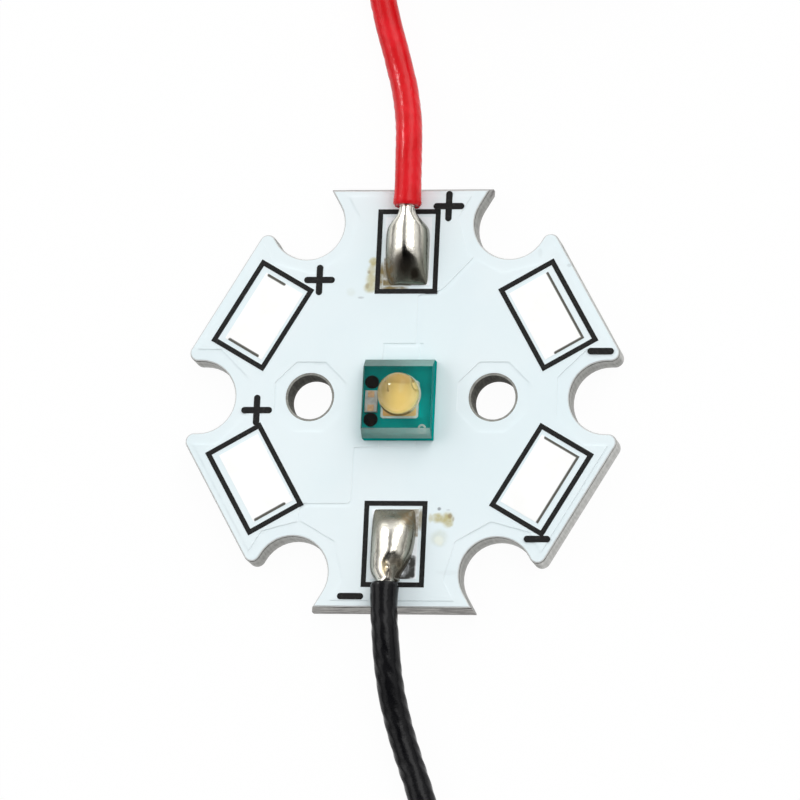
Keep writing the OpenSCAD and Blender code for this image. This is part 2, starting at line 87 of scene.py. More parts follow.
# A node tree, shader or geometry; add() makes every kind of node
class Graph:
    def __init__(self, tree):
        self.tree = tree

    def add(self, kind, settings=None, inputs=(), output=0):
        node = self.tree.nodes.new(kind)
        for key, value in (settings or {}).items():
            setattr(node, key, value)
        for key, value in (inputs.items() if isinstance(inputs, dict) else enumerate(inputs)):
            self.feed(node.inputs[key], value)
        return Tap(self, node.outputs[output])

    def side(self, tap, name):  # another output of the same node
        return Tap(self, tap.socket.node.outputs[name])

    def feed(self, socket, value):
        if isinstance(value, Tap):
            self.tree.links.new(value.socket, socket)
        elif value is not None:
            if socket.type == "RGBA" and len(value) == 3:
                value = (*value, 1)
            socket.default_value = value


tearing = (2.2, 5, 0.6)  # scale, detail and roughness of the noise that breaks up a spot's edge
strokeEdge = (0.3, 0.7)  # shares of a stroke's width between which it fades


# A Principled material that works in millimetres of Object coordinates
class Finish(Graph):
    def __init__(self, name, **fixed):
        self.material = bpy.data.materials.new(name)
        self.material.use_nodes = True
        super().__init__(self.material.node_tree)
        self.shader, self.torn = self.tree.nodes["Principled BSDF"], None
        place = self.add("ShaderNodeTexCoord", output="Object")
        self.place = self.add("ShaderNodeVectorMath", {"operation": "SCALE"}, {0: place, "Scale": 1 / mm})
        split = self.add("ShaderNodeSeparateXYZ", None, [self.place])
        self.x, self.y, self.z = split, self.side(split, "Y"), self.side(split, "Z")
        self.set(**fixed)

    def set(self, **values):
        for key, value in values.items():
            self.feed(self.shader.inputs[key.replace("_", " ")], value)
        return self.material

    def noise(self, scale, detail, rough=0.5, stretch=None):
        place = self.place
        if stretch:
            place = self.add("ShaderNodeVectorMath", {"operation": "MULTIPLY"}, [place, stretch])
        return self.add("ShaderNodeTexNoise", None,
                        {"Vector": place, "Scale": scale, "Detail": detail, "Roughness": rough})

    def patch(self, scale, detail, low, high, rough=0.5):  # noise cut to soft-edged patches
        return self.noise(scale, detail, rough).soft(low, high)

    def uneven(self, scale, detail, share, base):  # a value that noise raises here and there
        return self.noise(scale, detail) * share + base

    def grain(self, scale, detail, depth, under=None):
        return self.bump(self.noise(scale, detail), depth, under)

    def mix(self, share, first, second):
        return self.add("ShaderNodeMix", {"data_type": "RGBA"}, {0: share, 6: first, 7: second}, output=2)

    def cover(self, tone, mask, layer):  # a layer is a colour and the share it has where the mask is 1
        colour, share = layer
        return self.mix(mask * share, tone, colour)

    def bump(self, height, distance, under=None):
        return self.add("ShaderNodeBump", None,
                        {"Height": height, "Distance": distance * mm, "Strength": 1.0, "Normal": under})

    def upward(self):  # 1 where a face looks up, 0 on a wall
        normal = self.add("ShaderNodeNewGeometry", output="Normal")
        return self.side(self.add("ShaderNodeSeparateXYZ", None, [normal]), "Z")

    def reach(self, at):  # distance from a point, seen from above
        return ((self.x - at[0]) ** 2 + (self.y - at[1]) ** 2) ** 0.5

    def spot(self, at, size, ragged, edge):  # soft-edged patch, broken up by noise
        self.torn = self.torn or self.noise(*tearing)
        far = ((self.x - at[0]) / size[0]) ** 2 + ((self.y - at[1]) / size[1]) ** 2
        return 1 - (far ** 0.5 + (self.torn - 0.5) * ragged).soft(1 - edge, 1 + edge)

    def stroke(self, start, end, wide):  # soft-edged line from one point to another
        run = Vector((end[0] - start[0], end[1] - start[1]))
        x, y = self.x - start[0], self.y - start[1]
        along = ((x * run.x + y * run.y) / run.length_squared).math("MINIMUM", 1.0).most(0.0)
        far = ((x - along * run.x) ** 2 + (y - along * run.y) ** 2) ** 0.5
        return 1 - far.soft(*[wide * share for share in strokeEdge])


def dress(material, *names):
    for name in names:
        nodes[name].data.materials.clear()
        nodes[name].data.materials.append(material)


def newObject(name, data):
    made = bpy.data.objects.new(name, data)
    bpy.context.scene.collection.objects.link(made)
    return made


def plainMesh(name, points, faces, material):
    mesh = bpy.data.meshes.new(name)
    mesh.from_pydata([Vector(p) * mm for p in points], [], faces)
    mesh.materials.append(material)
    return newObject(name, mesh)


def meshPiece(name, points, faces, material):
    piece = plainMesh(name, points, faces, material)
    piece.data.validate()
    piece.data.polygons.foreach_set("use_smooth", [True] * len(piece.data.polygons))
    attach(piece, "root")
    return piece


def turned(x, y, degrees):
    c, s = math.cos(math.radians(degrees)), math.sin(math.radians(degrees))
    return x * c - y * s, x * s + y * c


def smoothStep(t):
    t = min(1.0, max(0.0, t))
    return t * t * (3 - 2 * t)


# Camera, at the place the photograph was taken from: millimetres and degrees, its clip in metres
cameraSet = {"place": (54.326, -60.436, 264.503), "turn": (13.169, 11.077, 2.651), "lens": 270.0,
             "sensor": 36.0, "clip": (0.01, 20)}


def makeCamera(s):
    data = bpy.data.cameras.new("camera")
    data.lens, data.sensor_width = s["lens"], s["sensor"]
    data.clip_start, data.clip_end = s["clip"]
    camera = newObject("camera", data)
    camera.location = Vector(s["place"]) * mm
    camera.rotation_euler = [math.radians(a) for a in s["turn"]]
    bpy.context.scene.camera = camera


makeCamera(cameraSet)

# Leads: route points as in the part's source, then a coil of two turns in, a climb and nearly two turns out
# the jacket's own marks: how its strands press through and from where, more in some places than in others as
# scale, detail and edges, nicks as scale, detail and depth, a swollen end, its cut edge
leadSet = {"diameter": 1.25, "length": 0.19, "step": 0.12, "sides": 44, "pathSteps": 8, "outer": 7.85,
           "turns": 3.875, "turnsIn": 2, "climb": 0.25, "turnPoints": 40, "strands": 6, "press": 1.6,
           "pressFrom": (0.18, 1.8), "uneven": (900.0, 2.0, 0.3, 0.72), "nicks": (3200.0, 3.0, 0.25),
           "swell": (0.5, 0.06), "cut": (0.07, 0.13)}
redLead = {"name": "redLead", "exit": (0.03, 8.85, 2.1), "centre": (5.35, 28.3), "turn": 0,
           "lay": 3.6, "height": 0.015,
           "route": [(0.03, 8.85, 2.1), (0.03, 9.6, 2.1), (0.01, 10.4, 2.08), (-0.03, 11.3, 2.0),
                     (-0.09, 12.2, 1.84), (-0.2, 13.1, 1.58), (-0.38, 14.0, 1.28), (-0.6, 14.9, 1.0),
                     (-0.88, 15.8, 0.8), (-1.18, 16.8, 0.69), (-1.5, 17.8, 0.64), (-1.8, 18.9, 0.625),
                     (-2.08, 20.0, 0.625), (-2.3, 21.1, 0.625), (-2.45, 22.3, 0.625), (-2.5, 23.6, 0.625),
                     (-2.5, 24.8, 0.625), (-2.5, 26.0, 0.625), (-2.5, 27.2, 0.625)]}
blackLead = {"name": "blackLead", "exit": (-0.2, -8.85, 2.1), "centre": (-5.35, -27.6), "turn": 180,
             "lay": 4.8, "height": 0.026,
             "route": [(-0.2, -8.85, 2.1), (-0.2, -9.6, 2.1), (-0.16, -10.4, 2.08), (-0.08, -11.3, 2.0),
                       (0.0, -12.2, 1.84), (0.1, -13.1, 1.58), (0.24, -14.0, 1.28), (0.44, -14.9, 1.0),
                       (0.7, -15.8, 0.8), (1.04, -16.8, 0.69), (1.42, -17.8, 0.64), (1.8, -18.9, 0.625),
                       (2.12, -20.0, 0.625), (2.34, -21.1, 0.625), (2.46, -22.0, 0.625), (2.5, -22.9, 0.625),
                       (2.5, -24.1, 0.625), (2.5, -25.3, 0.625), (2.5, -26.5, 0.625)]}
tailRoute = [(-5.9, -4.5, 1.88), (-6.7, -3.7, 1.9), (-7.5, -2.9, 1.9), (-8.3, -2.1, 1.82),
             (-9.0, -1.4, 1.5), (-9.7, -0.7, 1.17), (-10.4, 0.0, 0.88), (-11.1, 0.7, 0.68),
             (-11.8, 1.4, 0.625), (-12.5, 2.1, 0.625)]


def coilPoints(s):
    points = []
    for i in range(int(s["turns"] * s["turnPoints"]) + 1):
        done = i / s["turnPoints"]  # turns so far
        inward, outward = min(done, s["turnsIn"]), max(0.0, done - s["turnsIn"] - s["climb"])
        r = s["outer"] - s["diameter"] * (inward - outward)
        z = s["diameter"] * (0.5 + smoothStep((done - s["turnsIn"]) / s["climb"]))
        a = fullTurn * done
        points.append((-r * math.cos(a), r * math.sin(a), z))  # clockwise from the left side
    return points


def smoothPath(points, perStep):
    p = np.array([2 * np.array(points[0]) - points[1], *points, 2 * np.array(points[-1]) - points[-2]], float)
    t = np.linspace(0, 1, perStep, endpoint=False)[:, None]
    runs = [0.5 * (2 * p[i] + (p[i + 1] - p[i - 1]) * t
                   + (2 * p[i - 1] - 5 * p[i] + 4 * p[i + 1] - p[i + 2]) * t ** 2
                   + (3 * p[i] - p[i - 1] - 3 * p[i + 1] + p[i + 2]) * t ** 3) for i in range(1, len(p) - 2)]
    return np.vstack([*runs, p[-2:-1]])


def leadPath(lead, s):
    put = []
    for x, y, z in coilPoints(s) + tailRoute:
        x, y = turned(x, y, lead["turn"])
        put.append((lead["centre"][0] + x, lead["centre"][1] + y, z))
    return smoothPath(lead["route"] + put, s["pathSteps"])


def curvePiece(name, points):
    data = bpy.data.curves.new(name, "CURVE")
    data.dimensions = "3D"
    spline = data.splines.new("POLY")
    spline.points.add(len(points) - 1)
    spline.points.foreach_set("co", np.c_[np.array(points) * mm, np.ones(len(points))].ravel())
    return newObject(name, data)


# A geometry node tree with named inputs, run on an object and turned into a plain mesh
class Shaper(Graph):
    def __init__(self, name, sizes):
        tree = bpy.data.node_groups.new(name, "GeometryNodeTree")
        super().__init__(tree)
        tree.interface.new_socket("Geometry", in_out="INPUT", socket_type="NodeSocketGeometry")
        for key, value in sizes.items():
            kind = "NodeSocketInt" if isinstance(value, int) else "NodeSocketFloat"
            tree.interface.new_socket(key, in_out="INPUT", socket_type=kind).default_value = value
        tree.interface.new_socket("Geometry", in_out="OUTPUT", socket_type="NodeSocketGeometry")
        self.sizes, self.source = sizes, tree.nodes.new("NodeGroupInput")

    def size(self, name):
        return Tap(self, self.source.outputs[name])

    def keep(self, geometry, kind, field):  # carries a value of the curve on to the mesh
        node = self.tree.nodes.new("GeometryNodeCaptureAttribute")
        node.capture_items.new(kind, "kept")
        self.feed(node.inputs[0], geometry)
        self.feed(node.inputs[1], field)
        return Tap(self, node.outputs[0]), Tap(self, node.outputs[1])

    def vector(self, operation, *inputs, scale=None):
        tap = self.add("ShaderNodeVectorMath", {"operation": operation}, inputs)
        if scale is not None:
            self.feed(tap.socket.node.inputs["Scale"], scale)
        return tap

    def tube(self, line, ring):
        return self.add("GeometryNodeCurveToMesh", None,
                        {"Curve": line, "Profile Curve": ring, "Fill Caps": True})

    def finish(self, geometry, material, piece):
        geometry = self.add("GeometryNodeSetShadeSmooth", None, {"Geometry": geometry})
        geometry = self.add("GeometryNodeRealizeInstances", None, [geometry])
        geometry = self.add("GeometryNodeSetMaterial", None, {"Geometry": geometry, "Material": material})
        self.feed(self.tree.nodes.new("NodeGroupOutput").inputs[0], geometry)
        modifier = piece.modifiers.new("shape", "NODES")
        modifier.node_group = self.tree
        for item in self.tree.interface.items_tree:
            if item.in_out == "INPUT" and item.name in self.sizes:
                modifier[item.identifier] = self.sizes[item.name]
        view = bpy.context.evaluated_depsgraph_get()
        mesh = bpy.data.meshes.new_from_object(piece.evaluated_get(view), depsgraph=view)
        name = piece.name
        bpy.data.objects.remove(piece)
        return newObject(name, mesh)


def makeJacket(lead, s, material):
    path = leadPath(lead, s)
    piece = curvePiece(lead["name"], path)
    g = Shaper("jacket", {"diameter": s["diameter"] * mm, "strands": float(s["strands"]),
                          "lay": lead["lay"] * mm, "height": lead["height"] * mm, "step": s["step"] * mm,
                          "sides": s["sides"]})
    line = g.add("GeometryNodeResampleCurve", {"mode": "LENGTH"},
                 {"Curve": g.size("Geometry"), "Length": g.size("step")})
    line, along = g.keep(line, "FLOAT", g.add("GeometryNodeSplineParameter", output="Length"))
    line, middle = g.keep(line, "VECTOR", g.add("GeometryNodeInputPosition"))
    ring = g.add("GeometryNodeCurvePrimitiveCircle", {"mode": "RADIUS"},
                 {"Resolution": g.size("sides"), "Radius": g.size("diameter") * 0.5})
    ring, around = g.keep(ring, "FLOAT", g.add("GeometryNodeSplineParameter", output="Factor"))
    tube = g.tube(line, ring)
    place = g.add("GeometryNodeInputPosition")
    out = g.vector("SUBTRACT", place, middle)
    # the strands press through the jacket as a many-start screw, more in some places than in others
    turn = (around + along / g.size("lay")) * fullTurn * g.size("strands")
    scale, detail, low, high = s["uneven"]
    uneven = g.add("ShaderNodeTexNoise", None, {"Vector": place, "Scale": scale, "Detail": detail})
    fade = (along / mm).soft(*s["pressFrom"])
    rise = (turn.math("SINE") * 0.5 + 0.5) * uneven.soft(low, high) * g.size("height") * fade * -s["press"]
    scale, detail, depth = s["nicks"]
    nick = g.add("ShaderNodeTexNoise", None, {"Vector": place, "Scale": scale, "Detail": detail})
    rise = rise + (nick - 0.5) * g.size("height") * depth
    (swollen, swell), (edge, cut) = s["swell"], s["cut"]
    swell = along.hump(swollen * mm) * swell - along.hump(edge * mm) * cut
    grown = g.vector("SCALE", out, scale=swell + 1.0 + rise / (g.size("diameter") * 0.5))
    tube = g.add("GeometryNodeSetPosition", None,
                 {"Geometry": tube, "Position": g.vector("ADD", middle, grown)})
    return g.finish(tube, material, piece), path


# Tinned end: one strand in the middle and the others wound round it
tipSet = {"length": 4.0, "wire": 0.6, "outer": 6, "lay": 9.0, "nested": 0.985, "inside": 0.3, "steps": 24,
          "sides": 16}


def makeTip(lead, s, path, material):
    end, before = path[-1], path[-2]
    ahead = (end - before) / np.linalg.norm(end - before)
    steps = np.linspace(0, s["length"], s["steps"] + 1)
    piece = curvePiece(lead["name"] + "Tip", [end - ahead * s["inside"], *[end + ahead * k for k in steps]])
    g = Shaper("strands", {"outer": s["outer"], "strand": s["wire"] / 3 * mm, "lay": s["lay"] * mm})
    copies = g.add("GeometryNodeDuplicateElements", {"domain": "SPLINE"},
                   {"Geometry": g.size("Geometry"), "Amount": g.size("outer") + 1})
    number = g.side(copies, "Duplicate Index")
    away = g.size("strand") * s["nested"] * number.soft(0.0, 1.0)
    along = g.add("GeometryNodeSplineParameter", output="Length")
    angle = (number / g.size("outer") + along / g.size("lay")) * fullTurn
    normal, tangent = g.add("GeometryNodeInputNormal"), g.add("GeometryNodeInputTangent")
    offset = g.vector("ADD", g.vector("SCALE", normal, scale=angle.math("COSINE") * away),
                      g.vector("SCALE", g.vector("CROSS_PRODUCT", tangent, normal),
                               scale=angle.math("SINE") * away))
    copies = g.add("GeometryNodeSetPosition", None, {"Geometry": copies, "Offset": offset})
    ring = g.add("GeometryNodeCurvePrimitiveCircle", {"mode": "RADIUS"},
                 {"Resolution": s["sides"], "Radius": g.size("strand") * 0.5})
    return g.finish(g.tube(copies, ring), material, piece)


# Solder joints: sections from the pad's inner end to the jacket, in millimetres
# each row: share of the length, half-widths to the left and right looking outwards, height
# tilt is how much the top falls to the left and right of its soft crease; a dent is its place, size and depth
# close is the share of the length over which the section becomes a ring round the wire
jointSet = {"from": 5.285, "to": 8.85, "base": 1.364, "rings": 110, "around": 96, "rowSteps": 12,
            "foot": 0.12, "footRings": 30, "neck": 0.36, "wireUp": 0.736, "crease": 0.14, "square": 3.6,
            "plump": 0.48}
redJoint = {"name": "redJoint", "arm": 90, "wire": -0.03, "close": (0.72, 1.0), "ridge": -0.02,
            "tilt": (0.34, 0.24), "dents": [(5.9, -0.1, 0.45, 0.1)],
            "rows": [(0, 0.72, 0.91, 0.06), (0.03, 0.8, 0.98, 0.24), (0.1, 0.9, 1.01, 0.5),
                     (0.2, 0.97, 1.02, 0.78), (0.34, 1.0, 1.02, 1.02), (0.5, 1.02, 1.02, 1.14),
                     (0.68, 1.0, 1.0, 1.18), (0.8, 0.9, 0.92, 1.18), (0.88, 0.74, 0.78, 1.18),
                     (0.95, 0.53, 0.56, 1.18), (1, 0.43, 0.43, 1.18)]}
blackJoint = {"name": "blackJoint", "arm": 270, "wire": -0.2, "close": (0.93, 1.0), "ridge": 0.03,
              "tilt": (0.24, 0.34), "dents": [(8.1, 0.34, 0.42, 0.44), (8.2, 0.16, 0.2, -0.3)],
              "rows": [(0, 0.82, 0.93, 0.06), (0.03, 0.89, 0.99, 0.26), (0.1, 0.94, 1.03, 0.54),
                       (0.2, 0.98, 1.05, 0.82), (0.34, 0.98, 1.06, 1.05), (0.48, 0.93, 1.06, 1.14),
                       (0.62, 0.82, 1.06, 1.18), (0.75, 0.61, 1.05, 1.18), (0.85, 0.41, 0.98, 1.18),
                       (0.93, 0.33, 0.8, 1.18), (1, 0.33, 0.65, 1.18)]}


def jointTop(j, s, high, c, out, across):
    lean = j["tilt"][0 if c > j["ridge"] else 1] * (math.hypot(c - j["ridge"], s["crease"]) - s["crease"])
    up = high * (1 - lean) * (1 - abs(c) ** s["square"]) ** s["plump"]
    for dentOut, dentAcross, size, depth in j["dents"]:
        near = math.exp(-((out - dentOut) ** 2 + (across - dentAcross) ** 2) / size ** 2)
        up -= depth * near * min(1, up)
    return up


def makeJoint(j, s, material):
    bend = smoothPath(j["rows"], s["rowSteps"])
    foot = np.linspace(0, s["foot"], s["footRings"], endpoint=False)
    share = np.concatenate([foot, np.linspace(s["foot"], 1, s["rings"] - s["footRings"])])
    left, right, high = (np.interp(share, bend[:, 0], bend[:, k]) for k in (1, 2, 3))
    points, faces, n = [], [], s["around"]
    for t, l, r, h in zip(share, left, right, high):
        out = s["from"] + t * (s["to"] - s["from"])
        closed = smoothStep((t - j["close"][0]) / (j["close"][1] - j["close"][0]))
        for k in range(n):
            c, v = math.cos(fullTurn * k / n), math.sin(fullTurn * k / n)
            across = (l if c > 0 else r) * c
            up = jointTop(j, s, h, c, out, across) if v > 0 else 0.0
            across = (1 - closed) * across + closed * (j["wire"] + s["neck"] * c)
            up = (1 - closed) * up + closed * (s["wireUp"] + s["neck"] * v)
            points.append((*turned(out, across, j["arm"]), s["base"] + up))
    for i in range(len(share) - 1):
        here, ahead = i * n, (i + 1) * n
        faces += [(here + (k + 1) % n, ahead + (k + 1) % n, ahead + k, here + k) for k in range(n)]
    faces += [tuple(range(n)), tuple((len(share) - 1) * n + k for k in range(n - 1, -1, -1))]
    return meshPiece(j["name"], points, faces, material)


# Clear moulding: bevelled flange and dome in one closed shell, its foot just under the substrate's top
lensSet = {"wide": 3.25, "long": 3.7, "back": 0.22, "up": 1.86, "flange": 0.45, "slope": 0.4, "lip": 0.04,
           "sink": 0.002, "dome": 0.95, "domeAt": (0.12, 0.11), "rise": 0.3, "round": 0.05, "around": 144,
           "domeRings": 40, "roundRings": 7, "flatBands": 3}
halfWide, halfLong = lensSet["wide"] / 2, lensSet["long"] / 2
flatLong = halfLong - lensSet["slope"]  # where the flange's flat top ends and its slopes begin
domeMiddle = (lensSet["domeAt"][0], lensSet["domeAt"][1] - lensSet["back"])


def flangeEdge(s, angles):  # the flat top's outline, in directions from the dome's middle
    edge, (cx, cy) = [], s["domeAt"]
    for a in angles:
        dx, dy = math.cos(a), math.sin(a)
        reach = 1 / max(dx / (math.copysign(halfWide, dx) - cx), dy / (math.copysign(flatLong, dy) - cy))
        edge.append((cx + dx * reach, cy + dy * reach))
    return edge


def makeLens(s, material):
    n, top, (cx, cy) = s["around"], s["flange"], s["domeAt"]
    angles = [fullTurn * k / n for k in range(n)]
    for x, y in ((1, 1), (-1, 1), (-1, -1), (1, -1)):  # the nearest point moves into each corner
        corner = math.atan2(y * flatLong - cy, x * halfWide - cx) % fullTurn
        angles[min(range(n), key=lambda k: abs(angles[k] - corner))] = corner
    edge = flangeEdge(s, angles)
    rings = [[(x, y * halfLong / flatLong, z) for x, y in edge] for z in (-s["sink"], s["lip"])]
    rings.append([(x, y, top) for x, y in edge])
    profile = [(s["dome"] + s["round"] * (1 - math.sin(a)), s["round"] * (1 - math.cos(a)))
               for a in np.linspace(0, fullTurn / 4, s["roundRings"])]
    profile += [(s["dome"] * math.cos(a), s["rise"] + s["dome"] * math.sin(a))
                for a in np.linspace(0, fullTurn / 4, s["domeRings"])[:-1]]
    rings += [[(cx + r * math.cos(a), cy + r * math.sin(a), top + z) for a in angles] for r, z in profile]
    points = [p for ring in rings for p in ring] + [(cx, cy, top + s["rise"] + s["dome"])]
    faces = [(i * n + k, i * n + (k + 1) % n, (i + 1) * n + (k + 1) % n, (i + 1) * n + k)
             for i in range(len(rings) - 1) for k in range(n)]
    last = (len(rings) - 1) * n
    faces += [(last + k, last + (k + 1) % n, len(points) - 1) for k in range(n)]
    faces.append(tuple(range(n - 1, -1, -1)))
    points = [(x, y - s["back"], z + s["up"]) for x, y, z in points]
    lens = meshPiece("lens", points, faces, material)
    smooth = [s["flatBands"] * n <= i < len(faces) - 1 for i in range(len(faces))]
    lens.data.polygons.foreach_set("use_smooth", smooth)
    return lens


# Finishes of two mottled tones: the leads, the copper, the ink and the package's metals and pastes
# here and in the tables below, a patch is a noise's scale and detail, the edges of what it covers and, in
# some, its roughness; rough is scale, detail, share and base; grain and waves are scale, detail and depth
# all is what is the same all over
plated = {"patch": (4, 4, 0.35, 0.7), "grain": (13, 4, 0.006), "all": {"Metallic": 1.0}}
paste = {"patch": (6, 4, 0.35, 0.65), "grain": (12, 4, 0.01)}
mottleSet = {
    "redVinyl": {"tones": ((0.62, 0.007, 0.011), (0.74, 0.014, 0.022)), "patch": (0.9, 3, 0.35, 0.7),
                 "grain": (5, 4, 0.02), "all": {"Roughness": 0.15, "Specular_IOR_Level": 0.2}},
    "blackVinyl": {"tones": ((0.004, 0.004, 0.005), (0.009, 0.009, 0.010)), "patch": (0.9, 3, 0.35, 0.7),
                   "grain": (7, 4, 0.012), "all": {"Roughness": 0.15, "Specular_IOR_Level": 0.18}},
    "tinnedCopper": {"tones": ((0.83, 0.81, 0.77), (0.66, 0.61, 0.54)), "patch": (1.5, 4, 0.4, 0.7),
                     "rough": (3, 3, 0.2, 0.16), "grain": (9, 3, 0.006), "all": {"Metallic": 1.0}},
    "etchedCopper": {"tones": ((0.75, 0.36, 0.22), (0.58, 0.26, 0.15)), "patch": (3, 4, 0.35, 0.65),
                     "rough": (6, 3, 0.25, 0.25), "grain": (22, 3, 0.004), "all": {"Metallic": 1.0}},
    "printInk": {"tones": ((0.008, 0.008, 0.008), (0.035, 0.034, 0.030)), "patch": (8, 4, 0.5, 0.8),
                 "rough": (9, 3, 0.25, 0.4), "grain": (14, 3, 0.008), "all": {"Specular_IOR_Level": 0.2}},
    "goldPlating": {**plated, "tones": ((0.86, 0.58, 0.26), (0.72, 0.44, 0.18)), "rough": (7, 3, 0.15, 0.3)},
    "dullSilver": {**plated, "tones": ((0.54, 0.66, 0.60), (0.43, 0.54, 0.49)), "rough": (7, 3, 0.15, 0.4)},
    "solderPaste": {**paste, "tones": ((0.52, 0.51, 0.50), (0.40, 0.39, 0.38)), "rough": (9, 3, 0.2, 0.3),
                    "all": {"Metallic": 1.0}},
    "silverPaste": {**paste, "tones": ((0.45, 0.44, 0.42), (0.33, 0.32, 0.31)), "rough": (9, 3, 0.2, 0.5),
                    "all": {"Metallic": 0.6}},
    "viaResin": {**paste, "tones": ((0.003, 0.006, 0.005), (0.014, 0.008, 0.006)), "rough": (9, 3, 0.2, 0.4),
                 "all": {"Specular_IOR_Level": 0.0}},
    "diodeBody": {**paste, "tones": ((0.55, 0.57, 0.53), (0.46, 0.48, 0.44)), "rough": (9, 3, 0.2, 0.4),
                  "all": {"Specular_IOR_Level": 0.1}},
    "diodeMetal": {**paste, "tones": ((0.66, 0.44, 0.24), (0.52, 0.33, 0.17)), "rough": (9, 3, 0.2, 0.35),
                   "all": {"Metallic": 0.4}}}


def mottled(name):
    s = mottleSet[name]
    f = Finish(name, **s["all"])
    f.set(Base_Color=f.mix(f.patch(*s["patch"]), *s["tones"]))
    if "rough" in s:
        f.set(Roughness=f.uneven(*s["rough"]))
    return f.set(Normal=f.grain(*s["grain"]))


# Solder of both joints: a layer is a colour and its share, a spot is place, half-size, raggedness and edge
solderSet = {
    "tones": ((0.88, 0.85, 0.77), (0.74, 0.71, 0.62)), "patch": (1.6, 4, 0.35, 0.7, 0.6),
    "waves": (1.7, 3, 0.03), "grain": (16, 4, 0.004), "frozen": (6, 5, 0.65), "frozenDepth": 0.012,
    "frozenTo": (6.2, 7.3),
    # painted shade: the colour that darkens the joints' low flanks, up to the given height
    "flankShade": ((0.17, 0.17, 0.13), 0.9), "flankShadeUp": (1.9, 2.42),
    # painted shade: the dent in the lower joint is painted near black
    "pitShade": ((0.11, 0.09, 0.06), 0.85), "pitShadeSpot": ((0.3, -8.2), (0.5, 0.6), 0.25, 0.35),
    # painted highlight: a golden glint beside the dent, near the lower joint's neck
    "paintedGleam": ((0.86, 0.66, 0.32), 0.5), "paintedGleamSpot": ((-0.22, -8.15), (0.13, 0.4), 0.2, 0.6),
    # painted shade: dark patches on the upper joint's inner slope
    "paintedSlopeShade": ((0.04, 0.028, 0.018), 0.85),
    "paintedSlopeShadeSpots": [((-0.02, 6.2), (0.5, 0.56), 0.3, 0.5), ((0.46, 5.72), (0.2, 0.28), 0.3, 0.5)],
    "crust": (0.20, 0.18, 0.13), "crustFrom": (-6.3, -5.4), "crustTo": (-5.0, 0.0),
    "crustPatch": (3.5, 5, 0.38, 0.62, 0.6), "flux": (0.19, 0.125, 0.05), "fluxPatch": (5, 4, 0.3, 0.6),
    "redFlux": ((-0.98, 5.6), (0.42, 0.85), 0.8, 0.5), "blackFlux": ((0.85, -5.5), (0.6, 0.7), 1.1, 0.5)}


def meltedSolder():
    f, s = Finish("meltedSolder", Metallic=1.0), solderSet
    low = 1 - f.z.soft(*s["flankShadeUp"])  # painted shade: the low flanks are painted darker, olive and duller
    # painted shade in the lower joint's dent
    pitShade = f.spot(*s["pitShadeSpot"])
    stain = (f.spot(*s["redFlux"]) * 0.95).most(f.spot(*s["blackFlux"]) * 0.7)
    tone = f.mix(f.patch(*s["patch"]), *s["tones"])
    tone = f.cover(tone, low, s["flankShade"])
    tone = f.cover(tone, pitShade, s["pitShade"])
    # painted highlight beside the dent
    tone = f.cover(tone, f.spot(*s["paintedGleamSpot"]), s["paintedGleam"])
    slopeShade, corner = [f.spot(*spot) for spot in s["paintedSlopeShadeSpots"]]
    tone = f.cover(tone, slopeShade.most(corner), s["paintedSlopeShade"])  # painted shade on the upper joint's inner slope
    crust = f.y.soft(*s["crustFrom"]) * (1 - f.y.soft(*s["crustTo"]))  # on the lower joint's inner end
    crust = crust * (f.patch(*s["crustPatch"]) * 0.55 + 0.3)
    tone = f.mix(crust, tone, s["crust"])
    frozen = f.noise(*s["frozen"]) * (1 - abs(f.y).soft(*s["frozenTo"]))  # the inner half froze rough
    fine = f.bump(frozen, s["frozenDepth"], under=f.grain(*s["grain"]))
    return f.set(Base_Color=f.mix(stain * f.patch(*s["fluxPatch"]), tone, s["flux"]),
                 Metallic=1 - (low * 0.25).most(pitShade * 0.3),
                 Roughness=f.noise(4, 4) * 0.1 + stain * 0.2 + low * 0.06 + crust * 0.15 + 0.08,
                 Normal=f.grain(*s["waves"], under=fine))


# Base plate: tones of its cut walls, side flats, snapped ends, round holes (painted shade) and underside,
# then their places
# punched, scored, ripped and rolled are marks as scale, detail, roughness and stretch
plateSet = {"walls": ((0.22, 0.22, 0.205), (0.36, 0.36, 0.34)),
            "sides": ((0.40, 0.40, 0.38), (0.56, 0.56, 0.54)),
            "ends": ((0.15, 0.145, 0.14), (0.46, 0.45, 0.43)), "torn": ((0.10, 0.09, 0.09), 0.7),
            # painted shade: the dark tones of the round holes' bores
            "holes": ((0.05, 0.05, 0.042), (0.14, 0.136, 0.115)),
            "under": ((0.66, 0.665, 0.66), (0.76, 0.765, 0.76)), "flatOut": (9.6, 9.75), "sideTurn": 30,
            "webUp": 0.6, "webEdge": (0.12, 0.26), "holeOut": 4.29, "holeEdge": (1.06, 1.2),
            "underUp": (0.02, 0.002), "punched": (9, 4, 0.6, (1, 1, 0.12)), "punchDepth": 0.03,
            "scored": (4, 4, 0.65, (0.25, 1, 4)), "rolled": (7, 3, 0.5, (0.12, 1, 1)),
            "streakEdge": (0.3, 0.7), "ripped": (6, 4, 0.5, (0.4, 1, 3)), "rippedEdge": (0.35, 0.6),
            "grain": (30, 4, 0.01)}


def nearHole(f, start, end):  # 1 in the two round holes
    return 1 - (((abs(f.x) - plateSet["holeOut"]) ** 2 + f.y ** 2) ** 0.5).soft(start, end)


